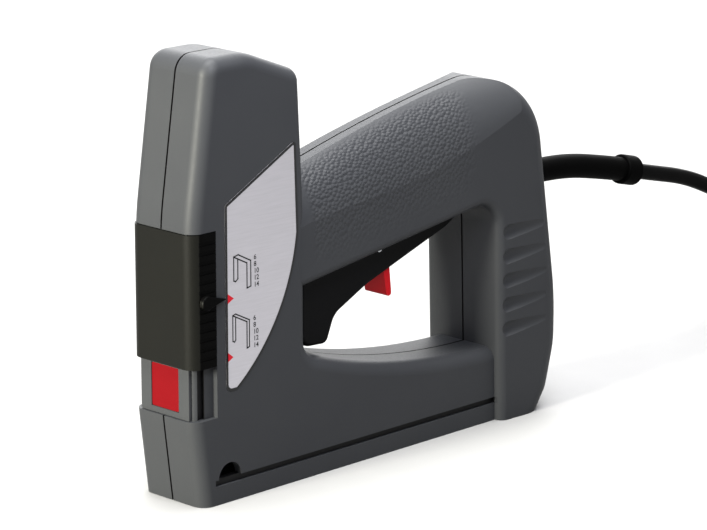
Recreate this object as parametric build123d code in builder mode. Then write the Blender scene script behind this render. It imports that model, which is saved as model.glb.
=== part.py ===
from build123d import *
import math
import os

os.makedirs("parts", exist_ok=True)

# Electric staple gun, in millimetres.
# +X points to the rear, -Y is the side with the label, +Z is up, and the base lies on Z = 0.

# Overall size
overall_length = 195.0
head_height = 164.0
front = -overall_length / 2
rear = overall_length / 2

# Running gaps
clearance = 0.3
pin_clearance = 0.05

# Head and arm, as seen from the side
wall = 2.4
head_half = 16.3
head_depth = 58.0
face_setback = 0.4
nose_setback = 4.6
nose_height = 33.0
face_top = 104.0
brow_setback = 9.2
crest = 29.5
shoulder_drop = 10.0
shoulder_lean = 2.6
arm_height = 29.4
arm_root = 47.0
arm_bend = 113.6
edge_round = 5.0
head_back = front + head_depth
arm_end = rear - 23.0

# Handle, rear strut and heel, as seen from the side
handle_top = 111.8
handle_crown = 127.0
handle_under = 71.9
handle_start = front + 50.0
grip_back_z = 139.8
crown_x = front + 100.4
grip_back_x = rear - 13.5
strut_front = rear - 37.4
heel_front = rear - 34.8
loop_top = 89.4
loop_round = 9.0
heel_half = 21.0
grip_round = 9.0
inner_round = 3.5
crown_share = 0.62
crown_ease = 0.5
seam_width = 0.7
seam_depth = 0.7

# Grip scoops on the heel
scoop_count = 5
scoop_pitch = 9.7
scoop_low = 37.0
scoop_radius = 4.2
scoop_depth = 1.3
scoop_length = 21.0

# Depth selector and what it runs in
slide_bottom = 52.5
slide_height = 49.5
slide_travel = 19.2
slide_wall = 2.3
slide_leg = 11.6
recess_depth = 2.1
track_width = 2.9
track_depth = 1.1
track_setback = 4.4
panel_thickness = 1.2
window_width = 14.4
window_height = 16.5
window_bottom = 35.3
rib_count = 13
rib_depth = 0.35

# Label on the left side
label_depth = 0.25
label_thickness = 0.35

# Side slot along the arm and the staple window above it
side_slot_z = 8.2
side_slot_height = 2.5
side_slot_depth = 1.2
side_slot_start = front + 10.8
staple_window_x = front + 18.0
staple_window_radius = 5.6

# Solenoid and striker
coil_axis = front + 29.0
yoke_bottom = 72.0
yoke_height = 54.0
yoke_length = 28.0
yoke_half = 11.5
yoke_plate = 3.0
plunger_radius = 6.9
plunger_gap = 0.2
plunger_top = 146.0
plunger_cap = 3.0
plunger_cap_radius = 9.0
bobbin_wall = 1.3
bobbin_flange = 2.0
bobbin_flange_radius = 10.6
stroke = 15.5
carrier_bottom = 48.0
carrier_height = 12.0
carrier_half = 7.0
blade_thickness = 1.1
blade_half = 5.6
guide_plate = 1.6
bumper_height = 4.7

# Magazine
staple_width = 11.3
staple_leg = 12.0
staple_wire = 1.2
staple_top = 14.8
stick_length = 50.0
channel_wall = 0.8
channel_half = 6.9
channel_top = 16.1
channel_bottom = 3.0
rail_half = 4.2
rail_wall = 1.0
rail_top = 13.2
plate_bottom = 0.3
plate_top = 1.9
plate_half = 8.2
runner_half = 9.2
runner_bottom = 1.2
cap_half = 7.0
cap_top = 16.5
rod_radius = 1.5
rod_height = 7.0
pusher_length = 12.0
drawer_travel = 105.0
pusher_travel = 60.0

# Trigger and safety catch
trigger_half = 8.0
trigger_front = front + 62.5
trigger_pivot_x = front + 148.0
trigger_pivot_z = 94.5
trigger_pin_radius = 2.0
catch_pivot_x = front + 104.0
catch_pivot_z = 78.0
catch_half = 5.75
catch_hub = 3.0
catch_pin_radius = 1.5

# Switch and board in the handle
switch_x = front + 97.0
switch_z = 98.0
button_x = front + 93.0
button_radius = 1.5
button_travel = 4.0
board_thickness = 1.6
board_y = 6.0

# Fasteners
screw_radius = 1.6
screw_head_radius = 3.0
screw_head_height = 2.2
screw_sink = 1.5
boss_radius = 4.2

# Mains lead
cord_diameter = 6.5
sleeve_radius = 4.9
collar_radius = 6.1
cord_turn_gap = 0.5
hank_turns = 6
hank_run = 110.0
hank_fold = 22.0
hank_start = 275.0
tie_thickness = 1.0
tie_width = 9.0
tie_x = hank_start + 35.0
plug_height = 18.0
plug_width = 34.0
plug_length = 38.0
plug_pin_radius = 2.4
plug_pin_length = 19.0
plug_pin_spacing = 19.0

# Places that follow from the sizes above
hollow_half = head_half - 3.5
throat_half = head_half - 6.0
hollow_front = front + 7.1
recess_floor = front + face_setback + recess_depth
recess_side = head_half - recess_depth
recess_top = slide_bottom + slide_height + 0.3
recess_back = front + slide_leg + 0.4
panel_half = head_half - 3.6
slide_half = head_half + 0.4
pointer_x = front + 6.2
pointer_z = slide_bottom + 24.5
pointer_tip = front + 15.4
pointer_peg = 1.2
yoke_top = yoke_bottom + yoke_height
yoke_front = coil_axis - yoke_length / 2
yoke_back = coil_axis + yoke_length / 2
bobbin_bore = plunger_radius + plunger_gap
bobbin_core = bobbin_bore + bobbin_wall
winding_low = yoke_bottom + yoke_plate + bobbin_flange
winding_high = yoke_top - yoke_plate - bobbin_flange
bumper_seat = plunger_top + plunger_cap + clearance + bumper_height
carrier_top = carrier_bottom + carrier_height
tongue_half = 2.4
rivet_places = (carrier_bottom + 3, carrier_top - 3)
blade_front = hollow_front + 0.1 + guide_plate + 0.1
blade_back = blade_front + blade_thickness
blade_tip = stroke + plate_bottom + 0.1
guide_front = blade_back + 0.1
guide_back = coil_axis + 5.0
guide_half = plate_half - 0.2
guide_top = carrier_bottom - stroke - clearance - bumper_height
base_slot_front = hollow_front - 0.2
rail_front = guide_front + 0.3
stick_front = rail_front
pusher_front = stick_front + stick_length + 0.2
pusher_back = pusher_front + pusher_length
channel_end = rear - 27.0
drawer_end = rear - 16.5
channel_ribs = (head_back - 12, head_back + 30, head_back + 66)
latch_half = 4.0
latch_front = rear - 11.0
latch_low = cap_top - 8.5
spring_x = front + 75.0
spring_foot = 86.6
spring_seat = 98.0
trigger_top_front = 80.0
trigger_pin_half = 12.0
button_low = switch_z - 4.0
switch_half = 5.2
switch_front = button_x - 4.0
switch_back = switch_front + 16.0
board_front = front + 116.0
board_back = board_front + 30.0
board_bottom = 103.0
board_top = 121.0
cord_z = 91.0
clamp_front = rear - 21.0
clamp_back = clamp_front + 5.0
clamp_middle = (clamp_front + clamp_back) / 2
flange_radius = 8.3
flange_thickness = 2.4
collar_length = 9.0

# Screws of the housing, as places in the side view
screw_tip = -8.0
screw_places = [
    (front + 50.5, 140),
    (front + 50.0, 60),
    (front + 68.0, 106),
    (front + 152.0, 122),
    (front + 168.0, 60),
    (front + 172.0, 25),
    (front + 42.0, 22.3),
    (front + 128.0, 22.5),
]

# Outlines in the side view
trigger_slot = [
    (front + 60.2, 68),
    (front + 156.0, 85),
    (front + 156.0, 96),
    (front + 60.2, 80),
]
trigger_outline = [
    (trigger_front, 83),
    (trigger_front, 47),
    (trigger_front + 13.8, 46.2),
    (trigger_front + 18.0, 56.5),
    (trigger_front + 35.5, 65),
    (trigger_pivot_x - 5.0, trigger_pivot_z - 14.2),
    (trigger_pivot_x + 6.5, trigger_pivot_z - 4.5),
    (trigger_pivot_x + 4.0, trigger_pivot_z + 6.5),
    (trigger_pivot_x - 8.0, trigger_pivot_z + 5.5),
]
tab_outline = [
    (catch_pivot_x + 2.0, catch_pivot_z - 1.0),
    (catch_pivot_x + 3.4, catch_pivot_z - 4.5),
    (catch_pivot_x + 6.2, catch_pivot_z - 20.4),
    (catch_pivot_x + 8.8, catch_pivot_z - 20.4),
    (catch_pivot_x + 7.5, catch_pivot_z - 8.0),
    (catch_pivot_x + 5.0, catch_pivot_z + 1.0),
]
tab_neck = [
    (catch_pivot_x - 1.0, catch_pivot_z - 3.5),
    (catch_pivot_x, catch_pivot_z + 2.0),
    (catch_pivot_x + 6.0, catch_pivot_z),
    (catch_pivot_x + 8.0, catch_pivot_z - 6.0),
    (catch_pivot_x + 3.0, catch_pivot_z - 6.0),
]

# Route of the lead in the side view, from the clamp to the hank
turn_pitch = cord_diameter + cord_turn_gap
hank_low = cord_diameter / 2 + 0.1
hank_high = hank_low + hank_turns * turn_pitch
cord_route = [
    (75.1, cord_z),
    (97.1, cord_z),
    (122.0, 90.0),
    (147.0, 85.0),
    (174.0, 78.4),
    (197.0, 73.0),
    (217.0, 64.5),
]
sleeve_start = 84.8
sleeve_end = 163.3


def bend_radius(before, corner, after):
    # The largest arc that both runs leave room for.
    first = Vector(*corner) - Vector(*before)
    second = Vector(*after) - Vector(*corner)
    turn = math.radians(first.get_angle(second))
    return 0.45 * min(first.length, second.length) / math.tan(turn / 2)


def on_run(start, end, x):
    # The point of a run at a given X.
    share = (x - start[0]) / (end[0] - start[0])
    return (x, start[1] + share * (end[1] - start[1]))


route_radii = [bend_radius(*cord_route[i : i + 3]) for i in range(len(cord_route) - 2)]
sleeve_points = [on_run(cord_route[0], cord_route[1], sleeve_start)]
sleeve_points += cord_route[1:4]
sleeve_points += [on_run(cord_route[3], cord_route[4], sleeve_end)]

# Put-away hank, as stations of place and direction along its turns
hank_end = hank_start + hank_run
turn_length = 2 * hank_run + 2 * math.pi * hank_fold
fall = turn_pitch / turn_length
lead_end = Vector(cord_route[-1][0], 0, cord_route[-1][1])
lead_heading = (lead_end - Vector(cord_route[-2][0], 0, cord_route[-2][1])).normalized()
hank_stations = [(lead_end, lead_heading)]


def hank_station(x, y, heading_x, heading_y, travelled):
    # The cord falls evenly along its whole length.
    return (Vector(x, y, hank_high - fall * travelled), Vector(heading_x, heading_y, -fall).normalized())


for turn in range(hank_turns):
    gone = turn * turn_length
    fold = math.pi * hank_fold
    far = gone + hank_run
    back = far + fold
    near = back + hank_run
    hank_stations += [
        hank_station(hank_start, hank_fold, 1, 0, gone),
        hank_station(hank_end, hank_fold, 1, 0, far),
        hank_station(hank_end + hank_fold, 0, 0, -1, far + fold / 2),
        hank_station(hank_end, -hank_fold, -1, 0, back),
        hank_station(hank_start, -hank_fold, -1, 0, near),
        hank_station(hank_start - hank_fold, 0, 0, 1, near + fold / 2),
    ]
plug_level = plug_height / 2
plug_entry = Vector(hank_start + 56.0, 0, plug_level)
plug_face = plug_entry.X + plug_length
hank_stations += [
    hank_station(hank_start, hank_fold, 1, 0, hank_turns * turn_length),
    (Vector(hank_start + 25.0, hank_fold / 2, hank_low + 0.8), Vector(0.75, -0.65, 0.1).normalized()),
    (plug_entry - Vector(cord_diameter, 0, 0), Vector(1, 0, 0)),
]
plug_sections = [
    (0.0, 11.0, 11.0),
    (plug_length * 0.4, 14.0, 13.0),
    (plug_length * 0.62, plug_width - 4, plug_height - 2),
    (plug_length * 0.72, plug_width, plug_height),
    (plug_length, plug_width, plug_height),
]
tie_span = 2 * hank_fold + cord_diameter + 2 * (0.5 + tie_thickness)
tie_height = hank_high + cord_diameter / 2 + clearance + tie_thickness


def biarcs(stations):
    # Two tangent arcs from each station to the next, or a straight run, inside a line.
    for (start, heading), (end, next_heading) in zip(stations, stations[1:]):
        across = end - start
        if heading.dot(next_heading) > 1 - 1e-9 and across.normalized().dot(heading) > 1 - 1e-9:
            Line(start, end)
            continue
        square = 2 * (1 - heading.dot(next_heading))
        linear = 2 * across.dot(heading + next_heading)
        reach = across.dot(across)
        if square < 1e-9:
            length = reach / linear
        else:
            length = (math.sqrt(linear**2 + 4 * square * reach) - linear) / (2 * square)
        middle = (start + end + (heading - next_heading) * length) * 0.5
        first = TangentArc(start, middle, tangent=heading)
        TangentArc(middle, end, tangent=first % 1)


def helix_line(base, axis, radius, height, turns):
    # Stations half a turn apart along a helix.
    side = axis.cross(Vector(0, 1, 0) if abs(axis.Y) < 0.5 else Vector(1, 0, 0)).normalized()
    other = axis.cross(side)
    rise = height / (2 * math.pi * turns)
    stations = []
    for i in range(2 * turns + 1):
        angle = i * math.pi
        place = base + side * (radius * math.cos(angle)) + other * (radius * math.sin(angle)) + axis * (rise * angle)
        heading = other * (radius * math.cos(angle)) - side * (radius * math.sin(angle)) + axis * rise
        stations.append((place, heading.normalized()))
    return stations


def wire_along(stations, diameter):
    # A round wire along the stations.
    with BuildLine() as path:
        biarcs(stations)
    with BuildSketch(Plane(origin=stations[0][0], z_dir=stations[0][1])) as section:
        Circle(diameter / 2)
    sweep(sections=section.sketch.faces()[0], path=path.wire())


def self_gap(wire):
    # The least distance between points of the wire that aren't neighbours along it.
    count = round(wire.length / 3)
    points = [wire.position_at(i / count) for i in range(count + 1)]
    points = [(p.X, p.Y, p.Z) for p in points]
    skip = round(6 * cord_diameter / 3)
    return min(
        math.dist(points[i], points[j]) for i in range(count) for j in range(i + skip, count + 1)
    )


def label_face(inset):
    # Outline of the label in the side view, inside a sketch.
    corners = [(22.0, 41.5), (16.3, 41.5), (16.3, 110.8), (51.8, 129.5), (53.0, 95.0)]
    with BuildLine() as line:
        edge = FilletPolyline(*[(front + x, z) for x, z in corners], radius=[3, 1.5, 1.5])
        ThreePointArc(edge @ 1, (front + 43.5, 66), edge @ 0)
    make_face(line.edges())
    if inset:
        offset(amount=-inset, mode=Mode.REPLACE)


def between(x, x0, z0, x1, z1):
    # The height at X of a line through two points.
    return z0 + (x - x0) * (z1 - z0) / (x1 - x0)


def roof_at(x):
    # Height of the handle's top edge before its corners are rounded.
    if x < crown_x:
        return between(x, handle_start, handle_top, crown_x, handle_crown)
    return between(x, crown_x, handle_crown, grip_back_x, grip_back_z)


def dome_at(x):
    # Height of the rounded part of the handle's sides, which is lower over the strut.
    tall = roof_at(x) - between(x, handle_start, handle_under, strut_front, loop_top)
    over = min(max((x - strut_front + 15) / 60, 0), 1)
    return tall * crown_share * (1 - over) + grip_round * over


def skin(x, z):
    # Half the width of the housing at a place in the side view.
    in_arm = x < heel_front and z < arm_height
    if x < head_back or in_arm:
        return head_half
    share = (z - roof_at(x) + dome_at(x)) / dome_at(x)
    return half_at(x) if share < 0 else half_at(x) * math.sqrt(1 - share**2)


def screw_seat(x, z):
    # Where a screw head's underside rests, measured from the parting plane.
    return skin(x, z) - screw_sink - screw_head_height


def block(x0, x1, y0, y1, z0, z1, mode=Mode.ADD):
    # A box between two corners.
    with Locations(((x0 + x1) / 2, (y0 + y1) / 2, (z0 + z1) / 2)):
        Box(x1 - x0, y1 - y0, z1 - z0, mode=mode)


def slab(x0, x1, half, z0, z1, mode=Mode.ADD):
    # A box centred on the parting plane.
    block(x0, x1, -half, half, z0, z1, mode)


def pair(x0, x1, inner, outer, z0, z1, mode=Mode.ADD):
    # The same box on both sides of the parting plane.
    block(x0, x1, inner, outer, z0, z1, mode)
    block(x0, x1, -outer, -inner, z0, z1, mode)


def rod_y(x, z, radius, y0, y1, mode=Mode.ADD):
    # A round bar across the tool.
    with Locations(Location((x, (y0 + y1) / 2, z), (90, 0, 0))):
        Cylinder(radius, y1 - y0, mode=mode)


def rod_x(z, y, radius, x0, x1, mode=Mode.ADD):
    # A round bar along the tool.
    with Locations(Location(((x0 + x1) / 2, y, z), (0, 90, 0))):
        Cylinder(radius, x1 - x0, mode=mode)


def rod_z(x, y, radius, z0, z1, mode=Mode.ADD):
    # An upright round bar.
    with Locations((x, y, (z0 + z1) / 2)):
        Cylinder(radius, z1 - z0, mode=mode)


def half_at(x):
    # Half the width of the handle and heel, which widen towards the rear.
    share = (x - head_back) / (rear - head_back)
    return head_half + share * (heel_half - head_half)


def head_face():
    # Side outline of the head, the nose and the arm, inside a sketch.
    face_x = front + face_setback
    points = [
        (front + nose_setback, 0),
        (face_x, nose_height),
        (face_x, face_top),
        (front + brow_setback, head_height),
        (front + crest, head_height),
        (head_back - shoulder_lean, head_height - shoulder_drop),
        (head_back, face_top),
        (head_back, arm_root),
        (front + arm_bend, arm_height),
        (arm_end, arm_height),
    ]
    rounds = [60, 120, 7, 25, 6, 200, 8, 300]
    with BuildLine() as line:
        upper = FilletPolyline(*points, radius=rounds)
        Polyline(upper @ 1, (arm_end, 0), upper @ 0)
    make_face(line.edges())


def handle_face():
    # Side outline of the handle, the strut and the heel, inside a sketch.
    outer_points = [
        (handle_start, handle_top),
        (crown_x, handle_crown),
        (grip_back_x, grip_back_z),
        (rear, 46),
        (rear, 26),
        (rear - 4.8, 7),
        (rear - 9.5, 0),
    ]
    inner_points = [(heel_front, 0), (strut_front, loop_top), (handle_start, handle_under)]
    with BuildLine() as line:
        outer = FilletPolyline(*outer_points, radius=[700, 30.3, 130, 40, 14])
        inner = FilletPolyline(*inner_points, radius=[loop_round])
        Line(outer @ 1, inner @ 0)
        Line(inner @ 1, outer @ 0)
    make_face(line.edges())


def handle_plan(inset):
    # Plan outline of the handle and heel, inside a sketch.
    ahead = handle_start - wall
    behind = rear + wall
    with BuildLine() as line:
        Polyline(
            (ahead, -half_at(ahead) + inset),
            (behind, -half_at(behind) + inset),
            (behind, half_at(behind) - inset),
            (ahead, half_at(ahead) - inset),
            close=True,
        )
    make_face(line.edges())


def side_edges(part, ahead):
    # Edges of the two outer sides that lie behind a given X and above the base.
    sides = part.faces().sort_by(Axis.Y)
    edges = sides[0].edges() + sides[-1].edges()
    return edges.filter_by(lambda e: e.center().Z > 0.1 and e.center().X > ahead)


def by_loop(edge):
    # Whether an edge borders the finger loop.
    return edge.center().Z < loop_top + wall + 1 and edge.center().X < rear - 25


def dome_face(x, inset):
    # Section of the handle's rounded top, open downwards, inside a sketch.
    reach = half_at(x) + crown_ease - inset
    dome = dome_at(x)
    foot = roof_at(x) - dome
    with BuildLine() as line:
        EllipticalCenterArc((0, foot), reach, dome + crown_ease - inset, start_angle=0, arc_size=180)
        Polyline((-reach, foot), (-reach, -wall), (reach, -wall), (reach, foot))
    make_face(line.edges())


# Blank of the head and arm: an extruded outline with a rounded rim
with BuildPart() as head_blank:
    with BuildSketch(Plane.XZ):
        head_face()
    extrude(amount=head_half, both=True)
    rim = side_edges(head_blank, front)
    fillet(rim.filter_by(lambda e: e.center().X < arm_end - 0.1), edge_round)

# Round top of the handle, as an envelope for the blank and for its hollow
dome_places = (handle_start - 12, crown_x - 20, strut_front - 20, strut_front + 18, rear + 12)
with BuildPart() as dome:
    for x in dome_places:
        with BuildSketch(Plane.YZ.offset(x)):
            dome_face(x, 0)
    loft()

with BuildPart() as inner_dome:
    for x in dome_places:
        with BuildSketch(Plane.YZ.offset(x)):
            dome_face(x, wall)
    loft()

# Blank of the handle, strut and heel
with BuildPart() as handle_blank:
    with BuildSketch(Plane.XZ):
        handle_face()
    extrude(amount=heel_half + wall, both=True)
    with BuildSketch(Plane.XY):
        handle_plan(0)
    extrude(amount=head_height, mode=Mode.INTERSECT)
    rim = side_edges(handle_blank, handle_start + 0.1)
    fillet(rim.filter_by(lambda e: not by_loop(e)), grip_round)
    rim = side_edges(handle_blank, handle_start + 0.1)
    fillet(rim.filter_by(by_loop), inner_round)
    add(dome.part, mode=Mode.INTERSECT)

# Outer form of the whole housing
with BuildPart() as form:
    add(head_blank.part)
    add(handle_blank.part)

# Hollow of the head and arm, narrower behind the selector's recess
with BuildPart() as head_hollow:
    with BuildSketch(Plane.XZ):
        head_face()
        offset(amount=-wall, mode=Mode.REPLACE)
    extrude(amount=hollow_half, both=True)
    with BuildSketch(Plane.XY):
        with BuildLine():
            Polyline(
                (hollow_front, -throat_half),
                (front + slide_leg + 1, -throat_half),
                (front + slide_leg + 4, -hollow_half),
                (rear, -hollow_half),
                (rear, hollow_half),
                (front + slide_leg + 4, hollow_half),
                (front + slide_leg + 1, throat_half),
                (hollow_front, throat_half),
                close=True,
            )
        make_face()
    extrude(amount=head_height, mode=Mode.INTERSECT)

# Hollow of the handle, strut and heel
with BuildPart() as handle_hollow:
    with BuildSketch(Plane.XZ):
        handle_face()
        offset(amount=-wall, mode=Mode.REPLACE)
    extrude(amount=heel_half + wall, both=True)
    with BuildSketch(Plane.XY):
        handle_plan(wall)
    extrude(amount=head_height, mode=Mode.INTERSECT)
    chain = side_edges(handle_hollow, handle_start + wall + 0.1)
    chain = chain.filter_by(lambda e: e.center().Z > wall + 0.1)
    fillet(chain.filter_by(lambda e: not by_loop(e)), grip_round - wall)
    add(inner_dome.part, mode=Mode.INTERSECT)

# Shadow groove along the parting line
with BuildPart() as seam:
    with BuildSketch(Plane.XZ):
        head_face()
        handle_face()
        offset(amount=-seam_depth, mode=Mode.SUBTRACT)
    extrude(amount=seam_width / 2, both=True)

# Recess round the front of the head, in which the selector slides
with BuildPart() as recess:
    block(front - 1, recess_back, -heel_half, heel_half, nose_height, recess_top)
    with BuildSketch(Plane.XY):
        with Locations(((recess_floor + head_back) / 2, 0)):
            RectangleRounded(head_back - recess_floor, 2 * recess_side, edge_round - recess_depth)
    extrude(amount=head_height, mode=Mode.SUBTRACT)
    pair(
        front + track_setback, front + track_setback + track_width,
        recess_side - track_depth, recess_side + 1, nose_height, recess_top,
    )

# Bosses, ribs and ledges inside the housing
with BuildPart() as inner_works:
    # screw bosses
    for x, z in screw_places:
        rod_y(x, z, boss_radius, 1 - skin(x, z), skin(x, z) - 1)
    # ledges above and below the solenoid, and ribs at its sides
    pair(yoke_front, yoke_back, carrier_half + 0.6, hollow_half + 0.5, yoke_bottom - 3, yoke_bottom)
    pair(yoke_front, yoke_back, yoke_half - 1, hollow_half + 0.5, yoke_top, yoke_top + 3)
    for z in (yoke_bottom + 8, yoke_top - 12):
        pair(yoke_front + 2, yoke_back - 2, yoke_half, hollow_half + 0.5, z, z + 4)
    # seat of the upper bumper
    slab(coil_axis - 8, coil_axis + 4, hollow_half + 0.5, bumper_seat, head_height - wall - 0.5)
    # ribs that hold the magazine channel
    for x in channel_ribs:
        pair(x, x + 3, channel_half, hollow_half + 0.5, channel_bottom, channel_top + 4)
        pair(x, x + 3, 1.0, hollow_half + 0.5, channel_top, channel_top + 4)
    # ribs beside the guide block
    pair(guide_back, guide_back + 2.5, channel_half - 1, hollow_half + 0.5, channel_top, guide_top)
    pair(guide_front + 4, guide_back, guide_half, hollow_half + 0.5, channel_top, channel_top + 6)
    # bearings of the trigger pin
    for side in (-1, 1):
        inner = side * (trigger_half + 0.5)
        outer = side * (half_at(trigger_pivot_x) - 1)
        rod_y(trigger_pivot_x, trigger_pivot_z, 5.5, min(inner, outer), max(inner, outer))
    # seat of the trigger spring and cradle of the switch
    slab(spring_x - 5, spring_x + 5, half_at(spring_x) - 1.5, spring_seat, spring_seat + 3)
    for x in (switch_front + 2, switch_back - 4):
        pair(x, x + 2, switch_half, half_at(x) - 1.5, switch_z + 2, switch_z + 10)
    # ribs that carry the circuit board
    for x in (board_front + 2, board_back - 4):
        block(x, x + 2, board_y + board_thickness, half_at(x) - 1.5, board_bottom + 1, board_top - 1)
    # saddles under the cord
    pair(clamp_front, clamp_back, 0, half_at(clamp_front) - 1.5, cord_z - 9, cord_z - cord_diameter / 2 - 0.1)
    add(form.part, mode=Mode.INTERSECT)

# Everything that is cut out of the walls
with BuildPart() as openings:
    add(seam.part)
    add(recess.part)
    with BuildSketch(Plane.XZ):
        with BuildLine():
            Polyline(*trigger_slot, close=True)
        make_face()
    extrude(amount=trigger_half + 0.5, both=True)
    pair(
        side_slot_start, heel_front, head_half - side_slot_depth, heel_half,
        side_slot_z - side_slot_height / 2, side_slot_z + side_slot_height / 2,
    )
    with BuildSketch(Plane.XZ):
        with Locations((staple_window_x, side_slot_z + side_slot_height / 2)):
            Circle(staple_window_radius)
            Rectangle(30, 15, align=(Align.CENTER, Align.MAX), mode=Mode.SUBTRACT)
    extrude(amount=heel_half, both=True)
    slab(base_slot_front, rear + 5, plate_half + clearance, -1, wall + 0.6)
    slab(rail_front - 0.3, rear + 5, runner_half + clearance, runner_bottom - 0.25, wall + 0.6)
    slab(rear - 14, rear + 5, cap_half + clearance, 0, cap_top + 0.4)
    rod_x(cord_z, 0, sleeve_radius + 0.15, rear - 20, rear + 5)
    rod_y(trigger_pivot_x, trigger_pivot_z, trigger_pin_radius, -trigger_pin_half, trigger_pin_half)
    # grip scoops, which fade out towards the rear
    for side in (-1, 1):
        for row in range(scoop_count):
            x0 = heel_front + 3.0
            y0 = side * (half_at(x0) + scoop_radius - scoop_depth)
            y1 = side * (half_at(x0 + scoop_length) + scoop_radius - 0.15)
            z0 = scoop_low + row * scoop_pitch
            axis = Vector(scoop_length, y1 - y0, 0.8)
            with BuildSketch(Plane(origin=(x0, y0, z0), z_dir=axis)):
                Circle(scoop_radius)
            extrude(amount=axis.length)
            with Locations((x0, y0, z0)):
                Sphere(scoop_radius)
    # holes of the housing screws
    for x, z in screw_places:
        rod_y(x, z, screw_radius + pin_clearance, screw_tip - 0.5, 0)
        rod_y(x, z, screw_radius + 0.2, 0, heel_half)
        rod_y(x, z, screw_head_radius + 0.3, screw_seat(x, z), heel_half + 1)

# Housing before it is parted
with BuildPart() as housing:
    add(form.part)
    add(head_hollow.part, mode=Mode.SUBTRACT)
    add(handle_hollow.part, mode=Mode.SUBTRACT)
    add(inner_works.part)
    add(openings.part, mode=Mode.SUBTRACT)

# Left half of the housing, with a shallow bed for the label
with BuildPart() as left_shell:
    add(housing.part)
    split(bisect_by=Plane.XZ, keep=Keep.TOP)
    with BuildSketch(Plane.XZ.offset(head_half - label_depth)):
        label_face(0)
    extrude(amount=2, mode=Mode.SUBTRACT)
left_shell.part.label = "left_shell"
export_step(left_shell.part, "parts/left_shell.step")

# Right half of the housing
with BuildPart() as right_shell:
    add(housing.part)
    split(bisect_by=Plane.XZ, keep=Keep.BOTTOM)
right_shell.part.label = "right_shell"
export_step(right_shell.part, "parts/right_shell.step")

# Screws that join the halves, put in from the right
with BuildPart() as shell_screws:
    for x, z in screw_places:
        rod_y(x, z, screw_radius, screw_tip, screw_seat(x, z) + 0.1)
        rod_y(x, z, screw_head_radius, screw_seat(x, z), screw_seat(x, z) + screw_head_height)
        crown = screw_seat(x, z) + screw_head_height
        for length, height in ((3.4, 0.8), (0.8, 3.4)):
            block(x - length / 2, x + length / 2, crown - 1.2, crown + 1,
                  z - height / 2, z + height / 2, mode=Mode.SUBTRACT)
shell_screws.part.label = "shell_screws"
export_step(shell_screws.part, "parts/shell_screws.step")

# Label plate with a slanted top and a bowed rear edge
with BuildPart() as side_label:
    with BuildSketch(Plane.XZ.offset(head_half - label_depth)):
        label_face(0.1)
    extrude(amount=label_thickness)
side_label.part.label = "side_label"
export_step(side_label.part, "parts/side_label.step")

# Front panel with its window
with BuildPart() as front_panel:
    slab(recess_floor - panel_thickness, recess_floor, panel_half, nose_height + 0.2, recess_top - 0.2)
    slab(
        front, recess_floor + 1, window_width / 2, window_bottom,
        window_bottom + window_height, mode=Mode.SUBTRACT,
    )
    fillet(front_panel.edges().filter_by(Axis.Z).group_by(Axis.X)[0], 0.3)
front_panel.part.label = "front_panel"
export_step(front_panel.part, "parts/front_panel.step")

# Coloured plate in the window
with BuildPart() as indicator_plate:
    slab(
        recess_floor - 0.8, recess_floor, window_width / 2 - 0.1,
        window_bottom + 0.1, window_bottom + window_height - 0.1,
    )
    fillet(indicator_plate.edges().filter_by(Axis.X), 0.8)
indicator_plate.part.label = "indicator_plate"
export_step(indicator_plate.part, "parts/indicator_plate.step")

# Depth selector: a clip round the front of the head with tongues in the side tracks
with BuildPart() as selector_slider:
    with BuildSketch(Plane.XY.offset(slide_bottom)):
        with Locations((head_back, 0)):
            RectangleRounded(
                2 * (head_back - front), 2 * slide_half, edge_round + 0.4
            )
        with Locations((head_back, 0)):
            RectangleRounded(
                2 * (head_back - recess_floor + 0.2), 2 * (recess_side + 0.2),
                edge_round - recess_depth, mode=Mode.SUBTRACT,
            )
        with Locations(((front + slide_leg + rear) / 2, 0)):
            Rectangle(rear - front - slide_leg, 4 * slide_half, mode=Mode.SUBTRACT)
        with Locations(((recess_floor - panel_thickness - 0.2 + recess_floor + 2) / 2, 0)):
            Rectangle(panel_thickness + 2.2, 2 * panel_half + 0.4, mode=Mode.SUBTRACT)
    extrude(amount=slide_height)
    pair(
        front + track_setback + 0.3, front + track_setback + track_width - 0.3,
        recess_side - track_depth + 0.3, recess_side + 1, slide_bottom, slide_bottom + slide_height,
    )
    rib_pitch = slide_height / (rib_count + 1)
    for row in range(rib_count):
        z0 = slide_bottom + (row + 1) * rib_pitch
        pair(front + 3.5, front + slide_leg + 1, slide_half - rib_depth, slide_half + 1,
             z0 - rib_pitch * 0.2, z0 + rib_pitch * 0.2, mode=Mode.SUBTRACT)
    rod_y(pointer_x, pointer_z, pointer_peg + 0.1, -slide_half - 1, -recess_side + 1, mode=Mode.SUBTRACT)
selector_slider.part.label = "selector_slider"
export_step(selector_slider.part, "parts/selector_slider.step")

# Pointer pressed into the selector's left leg
with BuildPart() as selector_pointer:
    with BuildSketch(Plane.XZ.offset(slide_half)):
        with Locations((pointer_x, pointer_z)):
            Circle(2.7)
        with BuildLine():
            Polyline(
                (pointer_x, pointer_z + 2.5), (pointer_tip, pointer_z), (pointer_x, pointer_z - 2.5), close=True
            )
        make_face()
    extrude(amount=1.8)
    fillet(selector_pointer.faces().sort_by(Axis.Y)[0].edges(), 0.6)
    rod_y(pointer_x, pointer_z, pointer_peg, -slide_half - 0.2, -recess_side - 0.4)
selector_pointer.part.label = "selector_pointer"
export_step(selector_pointer.part, "parts/selector_pointer.step")

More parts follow.
